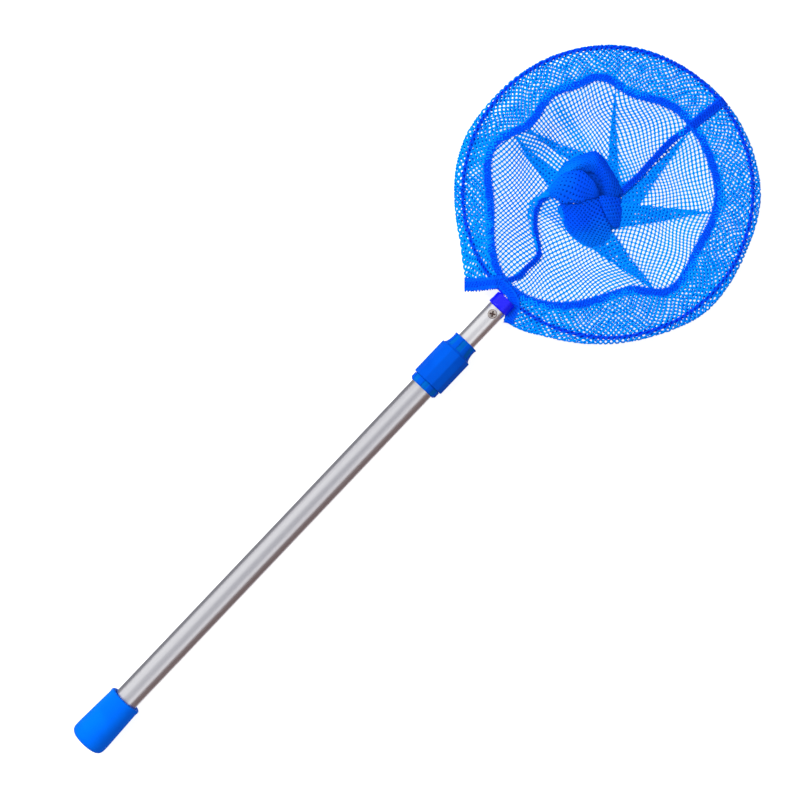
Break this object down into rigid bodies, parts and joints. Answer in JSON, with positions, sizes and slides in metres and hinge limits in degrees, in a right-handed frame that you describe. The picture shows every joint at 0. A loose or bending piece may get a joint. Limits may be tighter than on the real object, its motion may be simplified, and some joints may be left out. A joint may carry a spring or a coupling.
{
  "type": "extendable dip net",
  "caption": "Hand-held dip net: round wire hoop with a sewn mesh bag, on a telescopic aluminium pole with a twist lock and a blue end cap.",
  "frame": {"origin": "centre of the flat end of the butt cap, on the pole's axis", "axes": "+X along the pole from the butt to the net, +Z towards the open side of the net, which lies on its bag"},
  "size_m": [0.6809, 0.2234, 0.029],
  "materials": {
    "grip_plastic": "semi-matt moulded plastic",
    "lock_plastic": "satin moulded plastic",
    "ferrule_plastic": "glossy moulded plastic",
    "nylon": "natural moulded plastic",
    "tube_aluminium": "drawn satin aluminium",
    "screw_steel": "plated steel",
    "coated_wire": "navy coating on steel wire",
    "net_mesh": "knitted polyester mesh",
    "seam_tape": "woven polyester tape"
  },
  "bodies": {
    "pole": {"end_cap": "grip_plastic", "outer_tube": "tube_aluminium", "lock_body": "lock_plastic"},
    "collet": {"lock_collet": "nylon"},
    "nut": {"lock_nut": "lock_plastic"},
    "slider": {"tail_bushing": "nylon"},
    "head": {"inner_tube": "tube_aluminium", "ferrule_plug": "ferrule_plastic", "ferrule_screw": "screw_steel", "hoop_wire": "coated_wire", "sleeve_left": "net_mesh", "sleeve_right": "net_mesh", "hem_left": "seam_tape", "hem_right": "seam_tape", "sleeve_seam_tape": "seam_tape", "rim_tape": "seam_tape", "bag_left": "net_mesh", "bag_right": "net_mesh", "far_seam_tape": "seam_tape", "near_seam_tape": "seam_tape"}
  },
  "joints": [
    {"name": "pole_extension", "type": "slide", "parent": "pole", "child": "slider", "axis": [1, 0, 0], "range_m": [-0.022, 0.29]},
    {"name": "head_swivel", "type": "hinge", "parent": "slider", "child": "head", "pos_m": [0.4, 0, 0], "axis": [1, 0, 0], "continuous": true},
    {"name": "collet_release", "type": "slide", "parent": "pole", "child": "collet", "axis": [1, 0, 0], "range_m": [0, 0.001]},
    {"name": "nut_twist", "type": "hinge", "parent": "collet", "child": "nut", "pos_m": [0.39, 0, 0], "axis": [1, 0, 0], "range_deg": [0, 180]}
  ],
  "couplings": [
    {"joint": "collet_release", "follows": "nut_twist", "m_per_rad": 0.00031831}
  ]
}
